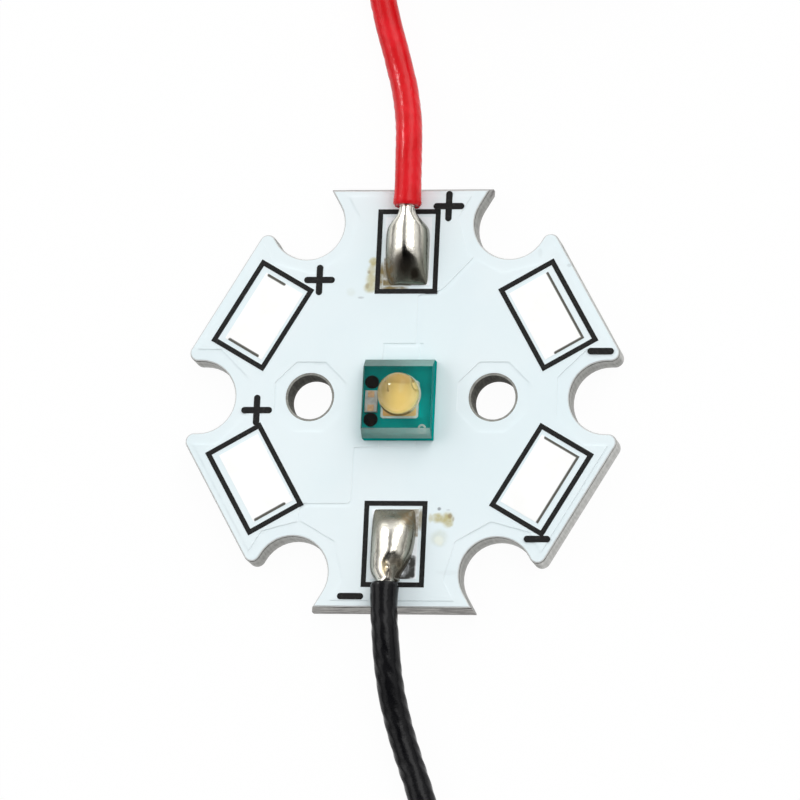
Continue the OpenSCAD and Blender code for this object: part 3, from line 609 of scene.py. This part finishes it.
def boardAluminium():
    f, s = Finish("boardAluminium"), plateSet
    punched = f.noise(*s["punched"])  # marks of the punch run straight down the walls
    streaks = punched.soft(*s["streakEdge"])
    torn = 1 - abs(f.z - s["webUp"]).soft(*s["webEdge"])  # the broken web halfway up
    ends = abs(f.y).soft(*s["flatOut"])  # the two end flats were scored along and snapped
    score = f.noise(*s["scored"]).soft(*s["streakEdge"])
    ripped = f.noise(*s["ripped"]).soft(*s["rippedEdge"])
    sideX, sideY = turned(1, 0, s["sideTurn"])
    sides = abs(f.x * sideX + abs(f.y) * sideY).soft(*s["flatOut"])  # the other four flats
    bore = nearHole(f, *s["holeEdge"])  # the drilled holes are dull, and painted dark as shade in their bores
    rolled = f.noise(*s["rolled"]).soft(*s["streakEdge"])  # the rolled sheet's grain, seen from below
    tone = f.mix(streaks, *s["walls"])
    tone = f.mix(sides, tone, f.mix(streaks, *s["sides"]))
    tone = f.mix(ends, tone, f.mix(score, *s["ends"]))
    tone = f.cover(tone, torn * ends * ripped, s["torn"])
    tone = f.mix(bore, tone, f.mix(streaks, *s["holes"]))
    tone = f.mix(f.z.soft(*s["underUp"]), tone, f.mix(rolled, *s["under"]))
    return f.set(Base_Color=tone, Metallic=1 - bore, Roughness=punched * 0.2 + torn * 0.1 + bore * 0.4 + 0.3,
                 Normal=f.bump(punched, s["punchDepth"], under=f.grain(*s["grain"])))


# Insulation: dark on its cut edge, pale where its top lies bare, but dark again round the holes
insulationSet = {"tones": ((0.20, 0.20, 0.18), (0.29, 0.29, 0.265)), "bare": ((0.66, 0.68, 0.68), 0.85),
                 "upward": (0.3, 0.8), "holeEdge": (1.2, 1.3), "patch": (5, 4, 0.35, 0.65),
                 "rough": (8, 3, 0.2, 0.5), "grain": (20, 3, 0.01)}


def darkInsulation():
    f, s = Finish("darkInsulation"), insulationSet
    tone = f.mix(f.patch(*s["patch"]), *s["tones"])
    bare = f.upward().soft(*s["upward"]) * (1 - nearHole(f, *s["holeEdge"]))
    return f.set(Base_Color=f.cover(tone, bare, s["bare"]), Roughness=f.uneven(*s["rough"]),
                 Normal=f.grain(*s["grain"]))


# Mask: its two tones, painted light on the steps over the copper, specks; then flux and dirt, colour by
# colour, each mark as place, half-size and strength
maskSet = {
    "tones": ((0.80, 0.885, 0.91), (0.77, 0.87, 0.90)), "patch": (0.22, 3, 0.35, 0.7),
    "rough": (2.5, 3, 0.12, 0.33), "waves": (0.9, 2, 0.012), "grain": (18, 3, 0.0025),
    # painted light: the step walls get a lighter tone
    "step": (0.97, 0.98, 0.99), "litStepWall": (0.9, 0.2),
    "speck": ((0.45, 0.47, 0.46), 0.25), "speckPatch": (14, 2, 0.74, 0.8),
    "markEdge": (0.9, 0.45), "markPatch": (3.2, 3, 0.2, 0.6), "markLeast": 0.5,
    "marks": [
        ((0.50, 0.45, 0.21), [
            ((-1.59, 6.39), (0.19, 0.21), 0.95), ((-1.64, 6.01), (0.19, 0.26), 0.65),
            ((-1.64, 5.58), (0.24, 0.34), 0.8), ((-1.66, 5.16), (0.28, 0.22), 0.75),
            ((1.94, -5.67), (0.28, 0.2), 0.9), ((1.64, -5.67), (0.1, 0.2), 0.6),
            ((2.43, -5.73), (0.26, 0.32), 0.95), ((2.51, -5.99), (0.16, 0.09), 0.5)]),
        ((0.27, 0.19, 0.10), [
            ((-1.78, 5.91), (0.07, 0.08), 0.6), ((-1.82, 5.25), (0.09, 0.12), 0.45),
            ((2.54, -5.57), (0.11, 0.12), 0.7), ((2.7, -5.72), (0.05, 0.1), 0.5)]),
        ((0.24, 0.185, 0.08), [
            ((-1.17, 5.75), (0.14, 0.55), 1.0), ((-0.85, 5.12), (0.34, 0.14), 1.0),
            ((-0.3, 5.13), (0.36, 0.11), 0.85), ((1.17, -5.7), (0.12, 0.45), 0.8)]),
        ((0.62, 0.68, 0.60), [((2.08, -6.6), (0.36, 0.35), 0.6), ((-2.58, 4.96), (0.2, 0.2), 0.25)]),
        ((0.86, 0.90, 0.80), [((2.08, -6.7), (0.2, 0.2), 0.7)]),
        ((0.20, 0.22, 0.24), [
            ((2.02, -5.24), (0.08, 0.07), 0.8), ((2.44, -5.29), (0.1, 0.04), 0.35),
            ((-2.1, 4.7), (0.14, 0.05), 0.4), ((-3.9, 1.6), (0.3, 0.08), 0.08),
            ((2.6, -8.2), (0.5, 0.12), 0.06), ((6.2, 6.8), (0.1, 0.2), 0.1),
            ((4.01, 6.75), (0.13, 0.1), 0.3), ((7.58, 6.22), (0.1, 0.08), 0.25)])]}


def whiteMask():
    f, s = Finish("whiteMask", Specular_IOR_Level=0.42), maskSet
    tone = f.mix(f.patch(*s["patch"]), *s["tones"])
    patchy = f.patch(*s["markPatch"]) * (1 - s["markLeast"]) + s["markLeast"]
    for colour, marks in s["marks"]:
        for at, size, strength in marks:
            tone = f.cover(tone, f.spot(at, size, *s["markEdge"]) * patchy, (colour, strength))
    tone = f.mix(f.upward().soft(*s["litStepWall"]), tone, s["step"])  # painted light: the step walls over the copper are painted lighter, hiding their shade
    return f.set(Base_Color=f.cover(tone, f.patch(*s["speckPatch"]), s["speck"]),
                 Roughness=f.uneven(*s["rough"]), Normal=f.grain(*s["waves"], under=f.grain(*s["grain"])))


# Pads: painted dark reflection as dark rims of the side pads, as the arm's angle, then both ends of each line
# as outward and sidewise distances; then smears on the end pads, colour by colour, as both ends, width and
# strength: brown flux, and painted shade
padSet = {
    "tones": ((0.985, 0.985, 0.98), (0.96, 0.96, 0.945)), "patch": (0.8, 4, 0.4, 0.75),
    "rough": (1.6, 4, 0.2, 0.42), "waves": (1.2, 3, 0.02), "grain": (12, 3, 0.003),
    "endPad": (0.90, 0.945, 0.975), "endEdge": (1.35, 1.25),
    # painted dark reflection: the rims line the side pads' edges that face away from the light
    "middle": 7.66, "wide": 0.15, "rim": ((0.035, 0.033, 0.018), 0.95),
    "rims": [
        (30, (0.98, 1.76), (0.98, -1.76)), (30, (0.98, -1.76), (-0.45, -1.76)),
        (330, (0.98, -1.76), (0.98, 1.76)), (330, (0.98, 1.76), (-0.8, 1.76)),
        (210, (0.9, 1.75), (-0.6, 1.75)), (150, (0.8, 1.75), (-0.75, 1.75)),
        (150, (0.85, -1.75), (0.0, -1.75))],
    "smearPatch": (4, 4, 0.25, 0.6), "smearLeast": 0.5,
    "smearsAndShade": [
        ((0.20, 0.155, 0.06), [
            ((-1.06, 6.4), (-0.98, 5.4), 0.34, 0.85), ((-1.0, 5.4), (0.1, 5.22), 0.3, 0.95),
            ((0.95, -5.2), (1.02, -6.4), 0.3, 0.8), ((-0.6, -5.28), (0.9, -5.2), 0.16, 0.5)]),
        # painted shade: near black strokes on the lower end pad beside the joint's flank
        ((0.035, 0.036, 0.032), [
            ((0.9, -7.55), (0.88, -8.3), 0.28, 1.0), ((0.88, -8.34), (0.45, -8.46), 0.28, 1.0),
            ((0.72, -7.9), (0.66, -8.3), 0.34, 1.0), ((0.93, -7.8), (0.9, -8.34), 0.16, 1.0)])]}


def brightTin():
    f, s = Finish("brightTin", Metallic=0.05), padSet
    tone = f.mix(f.patch(*s["patch"]), *s["tones"])
    tone = f.mix(abs(f.x).soft(*s["endEdge"]), tone, s["endPad"])  # the two end pads are a little bluer
    rim = None
    for arm, *ends in s["rims"]:
        line = f.stroke(*[turned(s["middle"] + out, side, arm) for out, side in ends], s["wide"])
        rim = line if rim is None else rim.most(line)
    # painted dark reflection on the side pads' rims
    tone = f.cover(tone, rim, s["rim"])
    patchy = f.patch(*s["smearPatch"]) * (1 - s["smearLeast"]) + s["smearLeast"]
    # brown flux smears, and painted shade beside the lower joint
    for colour, strokes in s["smearsAndShade"]:
        for start, end, wide, strength in strokes:
            tone = f.cover(tone, f.stroke(start, end, wide) * patchy, (colour, strength))
    return f.set(Base_Color=tone, Roughness=f.uneven(*s["rough"]),
                 Normal=f.grain(*s["waves"], under=f.grain(*s["grain"])))


# Substrate: green, with painted shade to the upper left and a painted pool of light to the lower right, resin
# run out round the two plugs
ceramicSet = {"tones": ((0.0, 0.28, 0.255), (0.0, 0.33, 0.30)), "patch": (0.9, 3, 0.35, 0.65),
              "rough": (7, 3, 0.15, 0.4), "grain": (14, 4, 0.004),
              # painted shade to the upper left, a painted pool of light to the lower right
              "dark": ((0.0, 0.14, 0.125), 0.6), "paintedShadeSpot": ((-1.0, 1.1), (1.5, 0.8), 0.5, 0.7),
              "paintedLight": ((0.0, 0.42, 0.38), 0.7), "paintedLightSpot": ((1.3, -0.9), (0.5, 0.9), 0.6, 0.8),
              "resin": (0.004, 0.007, 0.006), "plugs": [(-1.235, 0.54), (-1.235, -1.23)],
              "resinSpot": ((0.33, 0.32), 0.35, 0.10)}


def greenCeramic():
    f, s = Finish("greenCeramic", Specular_IOR_Level=0.0), ceramicSet
    tone = f.mix(f.patch(*s["patch"]), *s["tones"])
    # painted shade and a painted pool of light
    tone = f.cover(tone, f.spot(*s["paintedShadeSpot"]), s["dark"])
    tone = f.cover(tone, f.spot(*s["paintedLightSpot"]), s["paintedLight"])
    for plug in s["plugs"]:
        tone = f.mix(f.spot(plug, *s["resinSpot"]), tone, s["resin"])
    return f.set(Base_Color=tone, Roughness=f.uneven(*s["rough"]), Normal=f.grain(*s["grain"]))


# Gold under the dome: die, pad and wires run into one another through the lens; painted shade to the left and
# round the edge, painted light to the right
# painted shade on the left and at the edge, painted light on the right
goldSet = {"left": (0.24, 0.20, 0.09), "middle": (1.0, 0.73, 0.23), "right": (1.0, 0.87, 0.36),
           "shadeTo": (-0.55, 0.05), "litFrom": (0.1, 0.6), "edge": (0.66, 0.38, 0.12),
           "shadeRingOut": (0.8, 1.0), "lit": (-0.9, 1.2), "mottle": ((0.80, 0.54, 0.18), 0.2),
           "patch": (3, 3, 0.4, 0.7), "rough": (8, 3, 0.1, 0.42), "grain": (15, 3, 0.004)}


def goldenDie():
    f, s = Finish("goldenDie", Metallic=0.0, Specular_IOR_Level=0.1), goldSet
    # painted light: dark on the left, bright on the right
    tone = f.mix(f.x.soft(*s["shadeTo"]), s["left"], s["middle"])
    tone = f.mix(f.x.soft(*s["litFrom"]), tone, s["right"])
    edge = f.reach(domeMiddle).soft(*s["shadeRingOut"]) * (1 - (f.x + f.y * 0.3).soft(*s["lit"]) * 0.5)
    tone = f.mix(edge, tone, s["edge"])  # the brown edge of painted shade is weaker towards the lit right
    return f.set(Base_Color=f.cover(tone, f.patch(*s["patch"]), s["mottle"]),
                 Roughness=f.uneven(*s["rough"]), Normal=f.grain(*s["grain"]))


# Clear moulding, frosted where it was sawn, on both slopes and all four walls, and round the dome's foot,
# where the frost carries painted highlight and painted shade
# each frost has two tones: slopes from left to right, walls from back to front, foot from far (painted
# highlight) to near (painted shade)
mouldingSet = {"clear": (1.0, 1.0, 1.0), "sawn": (0.80, 0.82, 0.78), "clouds": ((0.60, 0.65, 0.62), 0.4),
               "slopeFrost": ((0.36, 0.46, 0.43), (0.58, 0.79, 0.74)),
               "wallFrost": ((0.0, 0.26, 0.24), (0.09, 0.36, 0.34)),
               # the foot's tones: a pale painted highlight on the far side, painted shade on the near side
               "footShadeAndHighlight": ((0.72, 0.76, 0.66), (0.13, 0.085, 0.03)),
               "wallIn": (0.015, 0.005), "slopeEdge": 0.02, "cloudFrom": (-1.72, -1.66),
               "across": (-1.7, 1.7), "footOut": (-0.02, 0.0, 0.04, 0.08), "footUp": (2.35, 2.7),
               "footNear": (-0.6, -0.85), "frontHalf": (0.0, 0.5), "frontWall": (1.9, 2.0),
               "cloudPatch": (5, 3, 0.4, 0.6), "hazePatch": (3, 3, 0.5, 0.8), "waves": (2.5, 2, 0.003),
               "shareNoise": (2.0, 3, 0.5, (0.5, 1, 1)),
               "slopeShare": (0.15, 0.18, 0.2), "wallShare": 0.6, "footShare": (0.45, 0.35)}


def clearMoulding():
    f = Finish("clearMoulding", Transmission_Weight=1.0, IOR=1.5, Specular_IOR_Level=0.15,
               Specular_Tint=(0.5, 0.5, 0.5))
    s, along = mouldingSet, f.y + lensSet["back"]  # along from the package's middle
    slope = abs(along).soft(flatLong - s["slopeEdge"], flatLong + s["slopeEdge"])
    cloudy = along.soft(*s["cloudFrom"])  # the outer half of the lower slope is clearer
    wall = abs(f.x).soft(*[halfWide - c for c in s["wallIn"]])
    wall = wall.most(abs(along).soft(*[halfLong - c for c in s["wallIn"]]))
    ring, (inside, start, end, outside) = f.reach(domeMiddle), [lensSet["dome"] + c for c in s["footOut"]]
    foot = ring.soft(inside, start) * (1 - ring.soft(end, outside)) * (1 - f.z.soft(*s["footUp"]))
    shaded = (f.y + f.x * 0.2).soft(*s["footNear"])  # painted shade: the foot is brown on its near side, else a pale painted highlight
    tone = f.mix(slope, s["clear"], s["sawn"])
    rough = (slope * 0.3).most(wall * 0.6)
    f.set(Base_Color=f.cover(tone, slope * f.patch(*s["cloudPatch"]), s["clouds"]),
          Roughness=rough + f.patch(*s["hazePatch"]) * 0.04 + 0.01, Normal=f.grain(*s["waves"]))
    sides = f.mix(f.x.soft(*s["across"]), *s["slopeFrost"])
    sides = f.mix(wall, sides, f.mix((-f.y).soft(*s["frontWall"]), *s["wallFrost"]))
    sides = f.mix(foot, sides, f.mix(shaded, *s["footShadeAndHighlight"]))
    frost = f.add("ShaderNodeBsdfPrincipled", None,
                  {"Roughness": 0.8, "Specular IOR Level": 0.0, "Base Color": sides})
    everywhere, inner, near = s["slopeShare"]
    share = slope * (cloudy * inner + (-f.y).soft(*s["frontHalf"]) * near + everywhere)
    share = (share * (f.noise(*s["shareNoise"]) * 0.8 + 0.6)).most(wall * s["wallShare"])
    far, extra = s["footShare"]
    share = share.most(foot * (shaded * extra + far))
    shade = f.add("ShaderNodeMixShader", None, [share, Tap(f, f.shader.outputs[0]), frost])
    f.feed(f.tree.nodes["Material Output"].inputs[0], shade)
    return f.material


finishes = {"tin": mottled("tinnedCopper"), "solder": meltedSolder(), "clear": clearMoulding()}
dress(boardAluminium(), "base_plate")
dress(darkInsulation(), "insulation")
dress(mottled("etchedCopper"), "positive_copper", "negative_copper", "thermal_land")
dress(whiteMask(), "solder_mask")
dress(mottled("printInk"), "pad_frames", "plus_signs", "minus_signs")
dress(brightTin(), "upper_right_pad", "upper_left_pad", "lower_left_pad", "lower_right_pad",
      "positive_end_pad", "negative_end_pad")
dress(finishes["tin"], "red_conductor", "black_conductor")
dress(greenCeramic(), "package_substrate")
dress(mottled("goldPlating"), "anode_terminal", "cathode_terminal", "thermal_terminal")
dress(mottled("dullSilver"), "die_pad_rim", "ring_mark")
dress(mottled("solderPaste"), "anode_solder", "cathode_solder", "thermal_solder")
dress(mottled("silverPaste"), "die_attach")
dress(goldenDie(), "die_pad", "emitter_die", "bond_finger", "bond_wires")
dress(mottled("viaResin"), "upper_via_plug", "lower_via_plug")
dress(mottled("diodeBody"), "protection_diode")
dress(mottled("diodeMetal"), "diode_contacts")
print("finishes made")

for j, cad in ((redJoint, "positive_joint"), (blackJoint, "negative_joint")):
    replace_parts(makeJoint(j, jointSet, finishes["solder"]), cad)
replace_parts(makeLens(lensSet, finishes["clear"]), "dome_lens")
print("joints and lens made")

for lead, cad in ((redLead, "red"), (blackLead, "black")):
    jacket, path = makeJacket(lead, leadSet, mottled(cad + "Vinyl"))
    tip = makeTip(lead, tipSet, path, finishes["tin"])
    for piece, slot in ((jacket, cad + "_insulation"), (tip, "tinned_wire")):
        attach(piece, "root")
    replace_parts(jacket, cad + "_jacket", cad + "_coil", cad + "_tail")
    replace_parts(tip, cad + "_tip")
    print(lead["name"], "made:", len(jacket.data.polygons), "faces")


# Studio: a pale floor, a soft room as the world, and two lamps
# the room: pale walls, dimmer low down, a brighter far side, the dark of whoever holds the camera, a dim gap
# overhead, and two long soft strips of light as place, width and power
# a lamp: direction, distance, size, radiance; the glint shows only in gloss, the fill only on dull surfaces
studioSet = {"floor": 3000.0, "down": -0.02, "paper": (0.93, 0.93, 0.93), "floorGlow": 0.96, "wall": 0.88,
             "lowWall": (0.0, 0.6), "lowDrop": 0.75, "far": 0.25, "farEdge": (0.5, 0.95), "dark": 0.01,
             "darkEdge": (-0.12, 0.15), "darkAt": 0.1, "darkWide": (0.4, 0.75), "darkUp": (0.0, 0.3),
             "gap": 0.6, "gapAt": -0.19, "gapWide": (0.1, 0.34), "gapUp": (0.5, 0.7),
             "stripFrom": (-0.4, 0.0), "stripUp": (0.02, 0.2),
             "strips": [(0.42, 0.28, 1.9), (-0.7, 0.24, 1.05)],
             "lamps": {"glint": ((-0.62, 0.56, 0.55), 0.5, (0.085, 0.085), 26.0),
                       "fill": ((0.05, -0.3, 0.95), 0.5, (0.3, 0.3), 1.6)}}


def floorPaper(s):
    paper = bpy.data.materials.new("paper")
    paper.use_nodes = True
    g = Graph(paper.node_tree)
    g.tree.nodes.remove(g.tree.nodes["Principled BSDF"])
    path = g.add("ShaderNodeLightPath", output="Is Camera Ray")
    seen = path.most(g.side(path, "Is Glossy Ray")).most(g.side(path, "Is Transmission Ray"))
    card = g.add("ShaderNodeBsdfDiffuse", None, {"Color": s["paper"]})
    white = g.add("ShaderNodeEmission", None, {"Color": (1, 1, 1), "Strength": 1.0})
    shade = g.add("ShaderNodeMixShader", None, [seen * s["floorGlow"], card, white])
    behind = g.add("ShaderNodeNewGeometry", output="Backfacing")
    shade = g.add("ShaderNodeMixShader", None, [behind, shade, g.add("ShaderNodeBsdfTransparent")])
    g.feed(g.tree.nodes["Material Output"].inputs[0], shade)
    return paper


def makeFloor(s):
    half, down = s["floor"] / 2, s["down"]
    corners = [(x * half, y * half, down) for x, y in ((-1, -1), (1, -1), (1, 1), (-1, 1))]
    plainMesh("floor", corners, [(0, 1, 2, 3)], floorPaper(s))


def makeRoom(s):
    world = bpy.data.worlds.new("room")
    world.use_nodes = True
    bpy.context.scene.world = world
    w = Graph(world.node_tree)
    x = w.add("ShaderNodeSeparateXYZ", None, [w.add("ShaderNodeTexCoord", output="Generated")])
    y, up = w.side(x, "Y"), w.side(x, "Z")
    dark = (-y).soft(*s["darkEdge"]) * (1 - abs(x - s["darkAt"]).soft(*s["darkWide"])) * up.soft(*s["darkUp"])
    gap = (1 - abs(x - s["gapAt"]).soft(*s["gapWide"])) * up.soft(*s["gapUp"]) * s["gap"]
    walls = (up.soft(*s["lowWall"]) * s["lowDrop"] + (1 - s["lowDrop"])) * (1 - gap) * s["wall"]
    level = (y.soft(*s["farEdge"]) * s["far"] + walls) * (1 - dark) + dark * s["dark"]
    for at, wide, power in s["strips"]:
        strip = y.soft(*s["stripFrom"]) * up.soft(*s["stripUp"]) * (1 - abs(x - at).soft(wide * 0.5, wide))
        level = level + strip * power
    eye = w.add("ShaderNodeLightPath", output="Is Camera Ray")
    background = w.tree.nodes["Background"].inputs
    w.feed(background["Strength"], level * (1 - eye) + eye)
    w.feed(background["Color"], (1, 1, 1))


def makeLamps(s):
    for name, (way, far, size, radiance) in s["lamps"].items():
        data = bpy.data.lights.new(name, "AREA")
        data.shape, data.size, data.size_y = "RECTANGLE", *size
        data.energy = radiance * math.pi * size[0] * size[1]
        lamp = newObject(name, data)
        lamp.location = Vector(way).normalized() * far
        lamp.rotation_euler = Vector(way).to_track_quat("Z", "Y").to_euler()
        lamp.visible_diffuse, lamp.visible_glossy = name == "fill", name == "glint"


makeFloor(studioSet)
makeRoom(studioSet)
makeLamps(studioSet)
bpy.context.scene.view_settings.view_transform = "Standard"
print("studio made")
